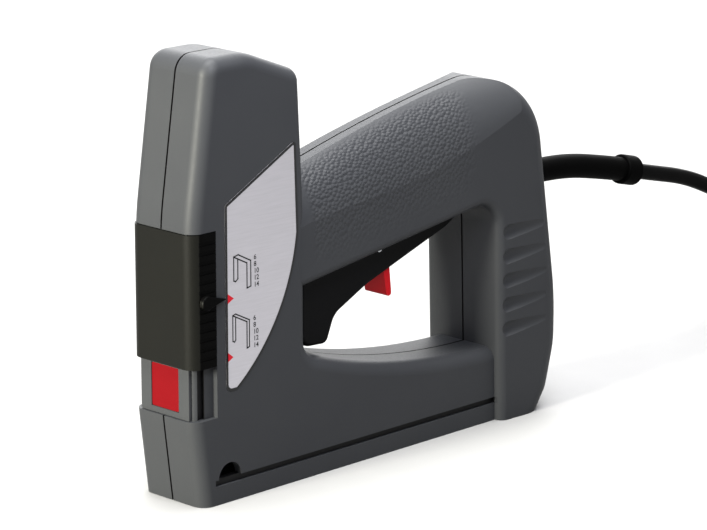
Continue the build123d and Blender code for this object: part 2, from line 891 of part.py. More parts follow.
# Trigger: a long lever with a nose at the front and a hub at the rear
with BuildPart() as trigger:
    with BuildSketch(Plane.XZ):
        with BuildLine():
            FilletPolyline(*trigger_outline, radius=[2, 5.5, 3, 8, 30, 20, 5, 5, 3], close=True)
        make_face()
    extrude(amount=trigger_half, both=True)
    fillet(side_edges(trigger, front).filter_by(lambda e: e.center().Z < 84), 1.6)
    slab(spring_x - 4.5, spring_x + 4.5, 4.5, trigger_top_front, spring_foot)
    slab(button_x - 2.5, button_x + 2.5, 2.5, trigger_top_front + 4, button_low - 0.4)
    slab(catch_pivot_x - 7, catch_pivot_x + 21, catch_half + 0.35, 30, catch_pivot_z + 6, mode=Mode.SUBTRACT)
    rod_y(catch_pivot_x, catch_pivot_z, catch_pin_radius, -trigger_half, trigger_half, mode=Mode.SUBTRACT)
    rod_y(
        trigger_pivot_x, trigger_pivot_z, trigger_pin_radius + pin_clearance,
        -trigger_half - 1, trigger_half + 1, mode=Mode.SUBTRACT,
    )
trigger.part.label = "trigger"
export_step(trigger.part, "parts/trigger.step")

with BuildPart() as trigger_pin:
    rod_y(trigger_pivot_x, trigger_pivot_z, trigger_pin_radius, -trigger_pin_half, trigger_pin_half)
trigger_pin.part.label = "trigger_pin"
export_step(trigger_pin.part, "parts/trigger_pin.step")

# Safety catch: a narrow hub and a wide finger tab
with BuildPart() as safety_catch:
    with BuildSketch(Plane.XZ):
        with BuildLine():
            FilletPolyline(*tab_outline, radius=[1, 6, 1.2, 1.2, 8, 1], close=True)
        make_face()
    extrude(amount=catch_half, both=True)
    rod_y(catch_pivot_x, catch_pivot_z, 4, -catch_hub, catch_hub)
    slab(catch_pivot_x - 4, catch_pivot_x + 8, catch_half + 1, catch_pivot_z - 3.5, catch_pivot_z + 5, mode=Mode.SUBTRACT)
    with BuildSketch(Plane.XZ):
        with BuildLine():
            Polyline(*tab_neck, close=True)
        make_face()
    extrude(amount=catch_hub, both=True)
    rod_y(catch_pivot_x, catch_pivot_z, 4, -catch_hub, catch_hub)
    rod_y(
        catch_pivot_x, catch_pivot_z, catch_pin_radius + pin_clearance,
        -catch_half - 1, catch_half + 1, mode=Mode.SUBTRACT,
    )
safety_catch.part.label = "safety_catch"
export_step(safety_catch.part, "parts/safety_catch.step")

with BuildPart() as safety_pin:
    rod_y(catch_pivot_x, catch_pivot_z, catch_pin_radius, -trigger_half, trigger_half)
safety_pin.part.label = "safety_pin"
export_step(safety_pin.part, "parts/safety_pin.step")

# Springs, wound on biarcs of half a turn
with BuildPart() as trigger_spring:
    spring_line = helix_line(Vector(spring_x, 0, spring_foot + 0.5), Vector(0, 0, 1), 3.0, spring_seat - spring_foot - 1.0, 5)
    wire_along(spring_line, 0.8)
trigger_spring.part.label = "trigger_spring"
export_step(trigger_spring.part, "parts/trigger_spring.step")

with BuildPart() as safety_spring:
    spring_line = helix_line(Vector(catch_pivot_x, -catch_half + 0.6, catch_pivot_z), Vector(0, 1, 0), 2.2, 1.8, 2)
    wire_along(spring_line, 0.6)
safety_spring.part.label = "safety_spring"
export_step(safety_spring.part, "parts/safety_spring.step")

with BuildPart() as return_spring:
    spring_line = helix_line(Vector(coil_axis, 0, yoke_top + 0.7), Vector(0, 0, 1), 8.1, plunger_top - yoke_top - 1.4, 5)
    wire_along(spring_line, 1.0)
return_spring.part.label = "return_spring"
export_step(return_spring.part, "parts/return_spring.step")

# Switch with its button
with BuildPart() as microswitch:
    slab(switch_front, switch_back, switch_half, switch_z, switch_z + 12.5)
    fillet(microswitch.edges().filter_by(Axis.Y), 0.6)
    for x in (switch_front + 5, switch_back - 5, switch_back - 1.5):
        slab(x - 0.4, x + 0.4, 1.5, switch_z + 12.4, switch_z + 16)
    rod_z(button_x, 0, button_radius + 0.15, switch_z - 1, button_low + 10 + button_travel + 0.4, mode=Mode.SUBTRACT)
microswitch.part.label = "microswitch"
export_step(microswitch.part, "parts/microswitch.step")

with BuildPart() as switch_button:
    rod_z(button_x, 0, button_radius, button_low, button_low + 10)
    fillet(switch_button.edges().filter_by(GeomType.CIRCLE).sort_by(Axis.Z)[0], 0.5)
switch_button.part.label = "switch_button"
export_step(switch_button.part, "parts/switch_button.step")

# Circuit board with its larger components
with BuildPart() as circuit_board:
    block(board_front, board_back, board_y, board_y + board_thickness, board_bottom, board_top)
circuit_board.part.label = "circuit_board"
export_step(circuit_board.part, "parts/circuit_board.step")

with BuildPart() as board_components:
    rod_x(board_bottom + 6, board_y - 5.2, 5.0, board_front + 4, board_front + 18)
    block(board_front + 4, board_front + 18, board_y - 1.0, board_y, board_bottom + 4, board_bottom + 8)
    block(board_front + 20, board_back - 2, board_y - 7, board_y, board_bottom + 2, board_bottom + 9)
    block(board_front + 12, board_front + 22, board_y - 4.5, board_y, board_top - 6, board_top - 1)
    block(board_back - 9, board_back - 2, board_y - 5, board_y, board_top - 8, board_top - 1)
board_components.part.label = "board_components"
export_step(board_components.part, "parts/board_components.step")

# Solenoid: yoke, bobbin and winding round the plunger
with BuildPart() as solenoid_yoke:
    slab(yoke_front, yoke_back, yoke_half, yoke_bottom, yoke_top)
    slab(
        yoke_front + yoke_plate, yoke_back - yoke_plate, yoke_half + 1,
        yoke_bottom + yoke_plate, yoke_top - yoke_plate, mode=Mode.SUBTRACT,
    )
    fillet(solenoid_yoke.edges().filter_by(Axis.Y).group_by(Axis.Z)[-1], 2)
    rod_z(coil_axis, 0, bobbin_bore, yoke_bottom - 1, yoke_top + 1, mode=Mode.SUBTRACT)
solenoid_yoke.part.label = "solenoid_yoke"
export_step(solenoid_yoke.part, "parts/solenoid_yoke.step")

with BuildPart() as coil_bobbin:
    rod_z(coil_axis, 0, bobbin_core, yoke_bottom + yoke_plate, yoke_top - yoke_plate)
    rod_z(coil_axis, 0, bobbin_flange_radius, yoke_bottom + yoke_plate, winding_low)
    rod_z(coil_axis, 0, bobbin_flange_radius, winding_high, yoke_top - yoke_plate)
    rod_z(coil_axis, 0, bobbin_bore, yoke_bottom, yoke_top, mode=Mode.SUBTRACT)
coil_bobbin.part.label = "coil_bobbin"
export_step(coil_bobbin.part, "parts/coil_bobbin.step")

with BuildPart() as coil_winding:
    rod_z(coil_axis, 0, bobbin_flange_radius - 0.4, winding_low, winding_high)
    rod_z(coil_axis, 0, bobbin_core, winding_low - 1, winding_high + 1, mode=Mode.SUBTRACT)
coil_winding.part.label = "coil_winding"
export_step(coil_winding.part, "parts/coil_winding.step")

# Striker: plunger, carrier and blade
with BuildPart() as plunger:
    rod_z(coil_axis, 0, plunger_radius, carrier_top, plunger_top)
    rod_z(coil_axis, 0, plunger_cap_radius, plunger_top, plunger_top + plunger_cap)
    chamfer(plunger.edges().filter_by(GeomType.CIRCLE).sort_by(Axis.Z)[-1], 0.6)
    slab(coil_axis - 10, coil_axis + 10, tongue_half + 0.1, carrier_top - 1, carrier_top + 10, mode=Mode.SUBTRACT)
    rod_y(coil_axis, carrier_top + 5, 1.5, -10, 10, mode=Mode.SUBTRACT)
plunger.part.label = "plunger"
export_step(plunger.part, "parts/plunger.step")

with BuildPart() as blade_carrier:
    slab(blade_back, coil_axis + carrier_half, carrier_half, carrier_bottom, carrier_top)
    fillet(blade_carrier.edges().filter_by(Axis.Z).group_by(Axis.X)[-1], 4)
    slab(coil_axis - 5, coil_axis + 5, tongue_half, carrier_top - 0.1, carrier_top + 9.5)
    rod_y(coil_axis, carrier_top + 5, 1.5, -10, 10, mode=Mode.SUBTRACT)
    for z in rivet_places:
        rod_x(z, 0, 1.4, blade_back - 1, blade_back + 6, mode=Mode.SUBTRACT)
blade_carrier.part.label = "blade_carrier"
export_step(blade_carrier.part, "parts/blade_carrier.step")

with BuildPart() as carrier_pin:
    rod_y(coil_axis, carrier_top + 5, 1.5, -5.5, 5.5)
carrier_pin.part.label = "carrier_pin"
export_step(carrier_pin.part, "parts/carrier_pin.step")

with BuildPart() as driver_blade:
    slab(blade_front, blade_back, blade_half, blade_tip, carrier_top)
    for z in rivet_places:
        rod_x(z, 0, 1.4, blade_front - 1, blade_back + 1, mode=Mode.SUBTRACT)
driver_blade.part.label = "driver_blade"
export_step(driver_blade.part, "parts/driver_blade.step")

with BuildPart() as blade_rivets:
    for z in rivet_places:
        rod_x(z, 0, 1.4, blade_front, blade_back + 6)
        rod_x(z, 0, 2.3, blade_front - 0.9, blade_front)
blade_rivets.part.label = "blade_rivets"
export_step(blade_rivets.part, "parts/blade_rivets.step")

# Rubber stops above and below the striker
with BuildPart() as top_bumper:
    rod_z(coil_axis, 0, 8, plunger_top + plunger_cap + clearance, bumper_seat)
top_bumper.part.label = "top_bumper"
export_step(top_bumper.part, "parts/top_bumper.step")

with BuildPart() as lower_bumper:
    slab(guide_front + 3, guide_back, guide_half - 1, guide_top, carrier_bottom - stroke - clearance)
    fillet(lower_bumper.edges().filter_by(Axis.Z), 2)
lower_bumper.part.label = "lower_bumper"
export_step(lower_bumper.part, "parts/lower_bumper.step")

# Guides of the blade in the nose
with BuildPart() as front_guide:
    slab(blade_front - 0.1 - guide_plate, blade_front - 0.1, guide_half, plate_bottom, nose_height)
front_guide.part.label = "front_guide"
export_step(front_guide.part, "parts/front_guide.step")

with BuildPart() as guide_block:
    slab(guide_front, guide_back, guide_half, channel_top, guide_top)
    slab(guide_front, guide_front + 6, guide_half + 1.8, guide_top - 5, guide_top)
    fillet(guide_block.edges().filter_by(Axis.Y).group_by(Axis.X)[-1].group_by(Axis.Z)[-1], 2)
guide_block.part.label = "guide_block"
export_step(guide_block.part, "parts/guide_block.step")

# Magazine channel: an inverted U of sheet steel
with BuildPart() as magazine_channel:
    slab(rail_front, channel_end, channel_half, channel_bottom, channel_top)
    slab(
        rail_front - 1, channel_end + 1, channel_half - channel_wall,
        channel_bottom - 1, channel_top - channel_wall, mode=Mode.SUBTRACT,
    )
magazine_channel.part.label = "magazine_channel"
export_step(magazine_channel.part, "parts/magazine_channel.step")

# Drawer that carries the staples and slides out at the heel
with BuildPart() as magazine_drawer:
    slab(rail_front, rear + 1, plate_half, plate_bottom, plate_top)
    slab(rail_front, rear + 1, runner_half, runner_bottom, plate_top)
    slab(rail_front, drawer_end, rail_half, plate_top - 0.1, rail_top)
    slab(
        rail_front + 2.4, drawer_end - 2.4, rail_half - rail_wall, plate_top, rail_top + 1, mode=Mode.SUBTRACT
    )
    rod_x(rod_height, 0, rod_radius + pin_clearance, rail_front - 1, drawer_end + 1, mode=Mode.SUBTRACT)
    add(form.part, mode=Mode.INTERSECT)
magazine_drawer.part.label = "magazine_drawer"
export_step(magazine_drawer.part, "parts/magazine_drawer.step")

# End cap of the drawer, flush with the heel
with BuildPart() as drawer_cap:
    slab(drawer_end, rear + 1, cap_half, plate_top, cap_top)
    add(form.part, mode=Mode.INTERSECT)
    slab(latch_front - clearance, rear + 2, latch_half + clearance, latch_low - 3.2, cap_top + 1, mode=Mode.SUBTRACT)
drawer_cap.part.label = "drawer_cap"
export_step(drawer_cap.part, "parts/drawer_cap.step")

# Latch button in the end cap and its spring
with BuildPart() as magazine_latch:
    slab(latch_front, rear + 1, latch_half, latch_low, cap_top - 0.2)
    add(form.part, mode=Mode.INTERSECT)
    for z in (latch_low + 2, latch_low + 4, latch_low + 6):
        slab(rear - 5.2 + (z - 7) * 0.25, rear + 2, latch_half + 1, z, z + 0.8, mode=Mode.SUBTRACT)
magazine_latch.part.label = "magazine_latch"
export_step(magazine_latch.part, "parts/magazine_latch.step")

with BuildPart() as latch_spring:
    spring_line = helix_line(Vector(latch_front + 2.2, 0, latch_low - 2.8), Vector(0, 0, 1), 1.4, 2.4, 3)
    wire_along(spring_line, 0.4)
latch_spring.part.label = "latch_spring"
export_step(latch_spring.part, "parts/latch_spring.step")

# Pusher on its rod, with the spring behind it
with BuildPart() as pusher:
    slab(pusher_front, pusher_back, rail_half - rail_wall - clearance, plate_top + clearance, staple_top)
    slab(pusher_front, pusher_back, staple_width / 2, rail_top + 0.2, staple_top)
    pair(pusher_front, pusher_back, rail_half + clearance, staple_width / 2, rod_height, staple_top)
    rod_x(rod_height, 0, rod_radius + 0.1, pusher_front - 1, pusher_back + 1, mode=Mode.SUBTRACT)
pusher.part.label = "pusher"
export_step(pusher.part, "parts/pusher.step")

with BuildPart() as pusher_rod:
    rod_x(rod_height, 0, rod_radius, rail_front, drawer_end)
pusher_rod.part.label = "pusher_rod"
export_step(pusher_rod.part, "parts/pusher_rod.step")

with BuildPart() as pusher_spring:
    spring_line = helix_line(
        Vector(pusher_back + 0.6, 0, rod_height), Vector(1, 0, 0), 2.2, drawer_end - 2.4 - pusher_back - 1.2, 10
    )
    wire_along(spring_line, 0.7)
pusher_spring.part.label = "pusher_spring"
export_step(pusher_spring.part, "parts/pusher_spring.step")

# A stick of staples astride the rail
with BuildPart() as staple_stick:
    slab(stick_front, stick_front + stick_length, staple_width / 2, staple_top - staple_leg, staple_top)
    slab(
        stick_front - 1, stick_front + stick_length + 1, staple_width / 2 - staple_wire,
        staple_top - staple_leg - 1, staple_top - staple_wire, mode=Mode.SUBTRACT,
    )
staple_stick.part.label = "staple_stick"
export_step(staple_stick.part, "parts/staple_stick.step")

# Clamp bar over the cord, with its two screws
with BuildPart() as cord_clamp:
    slab(clamp_front, clamp_back, 9.5, cord_z + cord_diameter / 2 + 0.1, cord_z + cord_diameter / 2 + 3)
    for side in (-1, 1):
        rod_z(clamp_middle, side * 6.8, 1.6, cord_z, cord_z + 10, mode=Mode.SUBTRACT)
cord_clamp.part.label = "cord_clamp"
export_step(cord_clamp.part, "parts/cord_clamp.step")

with BuildPart() as clamp_screws:
    for side in (-1, 1):
        rod_z(clamp_middle, side * 6.8, 1.5, cord_z - cord_diameter / 2 - 0.1, cord_z + cord_diameter / 2 + 3)
        rod_z(clamp_middle, side * 6.8, 2.8, cord_z + cord_diameter / 2 + 3, cord_z + cord_diameter / 2 + 5)
clamp_screws.part.label = "clamp_screws"
export_step(clamp_screws.part, "parts/clamp_screws.step")

# Strain relief: a bent rubber sleeve with a flange inside the wall and a collar at its end
with BuildPart() as strain_relief:
    with BuildLine(Plane.XZ) as sleeve_path:
        FilletPolyline(*sleeve_points, radius=route_radii[: len(sleeve_points) - 2])
    sleeve_mouth = Plane(origin=sleeve_path.line @ 0, z_dir=sleeve_path.line % 0)
    sleeve_tip = Plane(origin=sleeve_path.line @ 1, z_dir=-(sleeve_path.line % 1))
    with BuildSketch(sleeve_mouth):
        Circle(sleeve_radius)
    sweep(path=sleeve_path.wire())
    with BuildSketch(sleeve_mouth):
        Circle(flange_radius)
    extrude(amount=flange_thickness)
    with BuildSketch(sleeve_tip):
        Circle(collar_radius)
    extrude(amount=collar_length)
    collar_edges = strain_relief.edges().filter_by(GeomType.CIRCLE)
    fillet(collar_edges.filter_by(lambda e: abs(e.radius - collar_radius) < 0.01), 1.0)
    with BuildSketch(sleeve_mouth):
        Circle(cord_diameter / 2 + clearance)
    sweep(path=sleeve_path.wire(), mode=Mode.SUBTRACT)
strain_relief.part.label = "strain_relief"
export_step(strain_relief.part, "parts/strain_relief.step")

# Free stretch of the lead, from the clamp to the hank
with BuildPart() as cord_lead:
    with BuildLine(Plane.XZ) as lead_path:
        FilletPolyline(*cord_route, radius=route_radii)
    with BuildSketch(Plane(origin=lead_path.line @ 0, z_dir=lead_path.line % 0)):
        Circle(cord_diameter / 2)
    sweep(path=lead_path.wire())
cord_lead.part.label = "cord_lead"
export_step(cord_lead.part, "parts/cord_lead.step")

cord_section = math.pi * cord_diameter**2 / 4
print("cord radii", [round(r, 1) for r in route_radii])
print("lead length", round(lead_path.wire().length, 1))
print("lead volume over section times length", round(cord_lead.part.volume / cord_section / lead_path.wire().length, 4))

# Put-away hank: long turns on top of one another, and the end turned into the loop
with BuildPart() as cord_hank:
    with BuildLine() as hank_path:
        biarcs(hank_stations)
        Line(hank_stations[-1][0], plug_entry)
    with BuildSketch(Plane(origin=lead_end, z_dir=lead_heading)):
        Circle(cord_diameter / 2)
    sweep(path=hank_path.wire())
cord_hank.part.label = "cord_hank"
export_step(cord_hank.part, "parts/cord_hank.step")

print("hank length", round(hank_path.wire().length, 1))
print("hank volume over section times length", round(cord_hank.part.volume / cord_section / hank_path.wire().length, 4))
print("least gap of the hank to itself", round(self_gap(hank_path.wire()) - cord_diameter, 2))
bends = [e.radius for e in hank_path.edges().filter_by(GeomType.CIRCLE)]
print("tightest bend of the hank", round(min(bends), 1))

# Strap that ties the hank
with BuildPart() as cord_tie:
    with BuildSketch(Plane.YZ.offset(tie_x)):
        with Locations((0, tie_height / 2)):
            RectangleRounded(tie_span, tie_height, 3)
            RectangleRounded(tie_span - 2 * tie_thickness, tie_height - 2 * tie_thickness, 2, mode=Mode.SUBTRACT)
    extrude(amount=tie_width / 2, both=True)
cord_tie.part.label = "cord_tie"
export_step(cord_tie.part, "parts/cord_tie.step")

# Moulded plug lying inside the hank, and its two pins
with BuildPart() as plug_body:
    for back, width, height in plug_sections:
        with BuildSketch(Plane(origin=plug_entry + Vector(back, 0, 0), x_dir=(0, 1, 0), z_dir=(1, 0, 0))):
            RectangleRounded(width, height, height * 0.48)
    loft(ruled=True)
    for side in (-1, 1):
        rod_x(
            plug_entry.Z, plug_entry.Y + side * plug_pin_spacing / 2, plug_pin_radius,
            plug_face - 8, plug_face + 1, mode=Mode.SUBTRACT,
        )
plug_body.part.label = "plug_body"
export_step(plug_body.part, "parts/plug_body.step")

with BuildPart() as plug_pins:
    for side in (-1, 1):
        rod_x(
            plug_entry.Z, plug_entry.Y + side * plug_pin_spacing / 2, plug_pin_radius,
            plug_face - 8, plug_face + plug_pin_length,
        )
    fillet(plug_pins.edges().filter_by(GeomType.CIRCLE).group_by(Axis.X)[-1], 1.2)
plug_pins.part.label = "plug_pins"
export_step(plug_pins.part, "parts/plug_pins.step")
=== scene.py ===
import bpy
import bmesh
import math
from mathutils import Matrix, Vector


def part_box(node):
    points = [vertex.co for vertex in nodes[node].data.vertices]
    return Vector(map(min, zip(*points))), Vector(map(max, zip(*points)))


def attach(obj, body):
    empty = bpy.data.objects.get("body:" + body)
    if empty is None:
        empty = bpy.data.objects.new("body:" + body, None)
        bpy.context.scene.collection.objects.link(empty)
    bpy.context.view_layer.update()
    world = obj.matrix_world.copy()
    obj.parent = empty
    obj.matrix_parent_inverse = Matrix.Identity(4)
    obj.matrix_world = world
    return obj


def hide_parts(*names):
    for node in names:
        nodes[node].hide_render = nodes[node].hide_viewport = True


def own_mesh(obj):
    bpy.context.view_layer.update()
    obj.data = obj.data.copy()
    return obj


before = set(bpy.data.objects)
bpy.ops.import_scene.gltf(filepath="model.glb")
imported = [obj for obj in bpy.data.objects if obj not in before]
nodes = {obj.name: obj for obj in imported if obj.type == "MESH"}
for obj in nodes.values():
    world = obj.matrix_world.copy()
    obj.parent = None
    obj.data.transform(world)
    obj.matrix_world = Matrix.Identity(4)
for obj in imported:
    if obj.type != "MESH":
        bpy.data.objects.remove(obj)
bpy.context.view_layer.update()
noseX = round(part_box("selector_slider")[0][0] * 1000, 2)  # front of the tool, mm
labelY = round(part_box("side_label")[0][1] * 1000, 2)  # outer face of the label, mm
print("frame loaded with", len(nodes), "nodes")


def metres(*values):
    return Vector([v / 1000 for v in values])


# colours are written as sRGB hex
def hexColor(text):
    channels = [int(text[i:i + 2], 16) / 255 for i in (1, 3, 5)]
    linear = [c / 12.92 if c <= 0.04045 else ((c + 0.055) / 1.055) ** 2.4 for c in channels]
    return (*linear, 1.0)


# a pattern repeats this many times a metre
def perMetre(sizeMm):
    return 1000 / sizeMm


# a colour mix has its two colours at inputs 6 and 7, and its result at output 2
def addNode(mat, kind, inputs=None, **settings):
    node = mat.node_tree.nodes.new(kind)
    for key, value in settings.items():
        setattr(node, key, value)
    for key, value in (inputs or {}).items():
        if isinstance(value, bpy.types.NodeSocket):
            mat.node_tree.links.new(value, node.inputs[key])
        else:
            node.inputs[key].default_value = value
    return node


def startMaterial(name):
    mat = bpy.data.materials.new(name)
    mat.use_nodes = True
    mat.node_tree.nodes.clear()
    place = addNode(mat, "ShaderNodeTexCoord").outputs["Object"]
    return mat, place


def endMaterial(mat, inputs):
    shader = addNode(mat, "ShaderNodeBsdfPrincipled", inputs)
    addNode(mat, "ShaderNodeOutputMaterial", {"Surface": shader.outputs[0]})
    return mat


# 1 inside every limit and 0 outside; a limit is a distance, and the two values in mm that it fades between
def addMask(mat, limits):
    mask = None
    for distance, start, end in limits:
        edge = addNode(mat, "ShaderNodeMapRange", {
            "Value": distance, "From Min": start / 1000, "From Max": end / 1000},
            interpolation_type="SMOOTHSTEP").outputs[0]
        if mask is not None:
            edge = addNode(mat, "ShaderNodeMath", {0: mask, 1: edge}, operation="MULTIPLY").outputs[0]
        mask = edge
    return mask


# ABS moulded in a spark-eroded tool: dull and finely grained, with a pebble grain on the grip; painted
# shade darkens its parting line and narrow grooves
shellAbs = {
    "deep": "#202124",
    "pale": "#262729",
    "paintedGrooveShade": "#060607",  # painted shade: the parting line and the narrow grooves are coloured this dark, as shade falls in them
    "cloud": 38.0,
    "cloudDetail": 3.0,
    "grain": 0.9,  # real grain is about 0.3 mm, drawn coarser so that it shows
    "grainDetail": 2.0,
    "grainLift": 0.05,
    "grainStrength": 0.35,
    "pebble": 1.9,
    "pebbleLift": 0.5,
    "pebbleStrength": 0.8,
    "pebbleSpread": 0.7,
    "pebbleTurn": 38.0,
    "roughness": (0.44, 0.58),
    "specular": 0.11,
    "ior": 1.53,
    "gripAhead": (59.0, 63.0),  # behind the front of the tool, from no pebbles to full ones
    "gripBehind": (150.0, 136.0),
    "gripFoot": (80.0, 102.0),
    "gripSlope": 0.176,  # rise of the pebbles' lower edge for each mm to the rear
    "gripCrest": (3.5, 10.0),  # beside the parting line
    # painted shade covers this much each side of the parting line, in mm
    "seam": 0.4,
    "wallEdge": 0.05,  # the painted shade fades in over this much at the walls of a groove
    "endEdge": 0.1,  # and over this much at its ends
    "grooves": [  # grooves given painted shade; ahead and behind count from the front of the tool, foot and top from the base
        {"ahead": 4.2, "behind": 7.5, "half": 14.25, "foot": 33.0, "top": 103.0},  # round the selector
        {"ahead": 10.8, "behind": 162.0, "half": 16.2, "foot": 6.95, "top": 9.45},  # along the arm
    ],
}


# painted shade: 1 along the parting line and in the listed grooves, where the colour is darkened as shade
# would fall there
def paintedGrooveShadeMask(mat, s, where):
    wall, end = s["wallEdge"], s["endEdge"]
    dark = addMask(mat, [(where["across"], s["seam"] + wall, s["seam"])])
    for g in s["grooves"]:
        ahead, behind = noseX + g["ahead"], noseX + g["behind"]
        groove = addMask(mat, [
            (where["along"], ahead, ahead + end),
            (where["along"], behind, behind - end),
            (where["across"], g["half"] + wall, g["half"]),
            (where["up"], g["foot"], g["foot"] + end),
            (where["up"], g["top"] + end, g["top"])])
        dark = addNode(mat, "ShaderNodeMath", {0: dark, 1: groove}, operation="MAXIMUM").outputs[0]
    return dark


def pebbleHeight(mat, s, place, where):
    # height less the distance from the middle goes on rising where the side turns over into the top
    wrapped = addNode(mat, "ShaderNodeMath", {0: where["up"], 1: where["across"]}, operation="SUBTRACT")
    spread = addNode(mat, "ShaderNodeCombineXYZ", {"X": where["along"], "Y": wrapped.outputs[0]})
    turned = addNode(mat, "ShaderNodeVectorRotate", {
        "Vector": spread.outputs[0], "Angle": math.radians(s["pebbleTurn"])}, rotation_type="Z_AXIS")
    pebbles = addNode(mat, "ShaderNodeTexVoronoi", {
        "Vector": turned.outputs[0], "Scale": perMetre(s["pebble"]), "Randomness": s["pebbleSpread"]},
        voronoi_dimensions="2D", feature="F1")
    sloped = addNode(mat, "ShaderNodeVectorMath", {
        0: place, 1: (-s["gripSlope"], 0, 1)}, operation="DOT_PRODUCT")
    grip = addMask(mat, [
        (where["along"], *[noseX + x for x in s["gripAhead"]]),
        (where["along"], *[noseX + x for x in s["gripBehind"]]),
        (sloped.outputs["Value"], *s["gripFoot"]),
        (where["across"], *s["gripCrest"])])
    return addNode(mat, "ShaderNodeMath", {
        0: pebbles.outputs["Distance"], 1: grip}, operation="MULTIPLY").outputs[0]


def makeShellAbs(s):
    mat, place = startMaterial("shellAbs")
    axes = addNode(mat, "ShaderNodeSeparateXYZ", {"Vector": place}).outputs
    across = addNode(mat, "ShaderNodeMath", {0: axes["Y"]}, operation="ABSOLUTE").outputs[0]
    where = {"along": axes["X"], "across": across, "up": axes["Z"]}
    cloud = addNode(mat, "ShaderNodeTexNoise", {
        "Vector": place, "Scale": perMetre(s["cloud"]), "Detail": s["cloudDetail"]})
    color = addNode(mat, "ShaderNodeMix", {
        0: cloud.outputs["Fac"], 6: hexColor(s["deep"]), 7: hexColor(s["pale"])}, data_type="RGBA")
    # painted shade darkens the parting line and the grooves
    shaded = addNode(mat, "ShaderNodeMix", {
        0: paintedGrooveShadeMask(mat, s, where), 6: color.outputs[2], 7: hexColor(s["paintedGrooveShade"])}, data_type="RGBA")
    grain = addNode(mat, "ShaderNodeTexNoise", {
        "Vector": place, "Scale": perMetre(s["grain"]), "Detail": s["grainDetail"]})
    grainBump = addNode(mat, "ShaderNodeBump", {
        "Strength": s["grainStrength"], "Distance": s["grainLift"] / 1000, "Height": grain.outputs["Fac"]})
    bump = addNode(mat, "ShaderNodeBump", {
        "Strength": s["pebbleStrength"], "Distance": s["pebbleLift"] / 1000,
        "Height": pebbleHeight(mat, s, place, where), "Normal": grainBump.outputs[0]}, invert=True)
    rough = addNode(mat, "ShaderNodeMapRange", {
        "Value": grain.outputs["Fac"], "To Min": s["roughness"][0], "To Max": s["roughness"][1]})
    return endMaterial(mat, {
        "Base Color": shaded.outputs[2], "Roughness": rough.outputs[0], "IOR": s["ior"],
        "Specular IOR Level": s["specular"], "Normal": bump.outputs[0]})


# plain moulded plastics share one build: a tint that drifts a little, and a fine grain
plasticBase = {
    "cloud": 16.0,
    "cloudDetail": 4.0,
    "grain": 0.9,  # drawn coarser than the real grain so that it shows
    "grainDetail": 2.0,
    "lift": 0.04,
    "strength": 0.4,
    "swing": 0.06,  # roughness goes up and down by this much
    "specular": 0.35,
    "paintedShadeBehind": None,  # painted shade: from this far behind the front of the tool a ribbed part's sides are coloured near black with little sheen, as if in shade
    # the painted shade fades in over this many mm, then has this colour and this specular level
    "paintedShadeEdge": 0.3,
    "paintedShadeColor": "#020202",
    "paintedShadeSpecular": 0.02,
}
plastics = {
    # grey ABS, moulded: dull and even
    "panelAbs": {"deep": "#232426", "pale": "#28292b", "roughness": 0.5, "specular": 0.11},
    # glass-filled nylon, moulded: nearly black with a broad soft sheen; its ribbed sides get painted
    # shade, blacker and with less sheen
    "selectorNylon": {
        "deep": "#060605", "pale": "#080806", "roughness": 0.46, "specular": 0.075, "paintedShadeBehind": 3.6},
    # tinted ABS from a smooth tool: clear strong reds
    "windowRed": {
        "deep": "#480306", "pale": "#4e0408", "roughness": 0.45, "lift": 0.015, "specular": 0.035},
    "catchRed": {
        "deep": "#960812", "pale": "#a20c16", "roughness": 0.42, "lift": 0.015, "specular": 0.06},
    # black nylon, moulded: satin
    "triggerNylon": {"deep": "#040405", "pale": "#060607", "roughness": 0.48, "specular": 0.04},
    # screen-print inks: thin, flat and smooth
    "printBlack": {"deep": "#0e0e0f", "pale": "#141415", "roughness": 0.5, "lift": 0.004, "specular": 0.2},
    "printRed": {"deep": "#8a0c18", "pale": "#96121e", "roughness": 0.45, "lift": 0.004, "specular": 0.1},
    # moulded rubber: black and dull
    "sleeveRubber": {"deep": "#010101", "pale": "#020202", "roughness": 0.6, "specular": 0.015},
    # extruded vinyl: black, a little smoother than the rubber
    "cordVinyl": {"deep": "#020202", "pale": "#040404", "roughness": 0.5, "lift": 0.02, "specular": 0.03},
    # natural nylon, moulded: warm white
    "bobbinNylon": {"deep": "#cfcab8", "pale": "#dad6c6", "roughness": 0.45},
    # solder resist on a board: glossy green
    "boardLacquer": {"deep": "#14502a", "pale": "#1a6034", "roughness": 0.3, "lift": 0.01},
}


